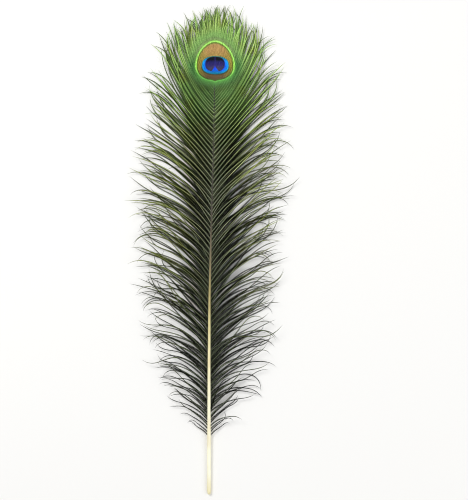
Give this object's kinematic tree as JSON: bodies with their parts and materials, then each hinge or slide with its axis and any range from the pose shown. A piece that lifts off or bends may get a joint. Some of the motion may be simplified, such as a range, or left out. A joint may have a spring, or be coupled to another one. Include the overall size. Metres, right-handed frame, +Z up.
{
  "type": "peacock feather",
  "caption": "Peacock tail feather lying face up: a bare cream quill running into a thin shaft, open vanes of loose green barbs, and a round eye near the tip.",
  "frame": {"origin": "on the surface the feather lies on, under the middle of its outline", "axes": "+Y from the quill's end towards the eye and the tip's fringe, +Z up out of the feather's face, +X to the right of a viewer who looks down on the face with the eye at the top"},
  "size_m": [0.1752, 0.5, 0.0087],
  "materials": {
    "quill": "smooth horny keratin with a low sheen, cream at the quill and brown towards the eye",
    "barbs": "fine keratin barbs, dark olive below and iridescent green, bronze and blue round the eye"
  },
  "bodies": {
    "root": {"shaft": "quill", "vane_left": "barbs", "vane_right": "barbs"}
  },
  "joints": []
}
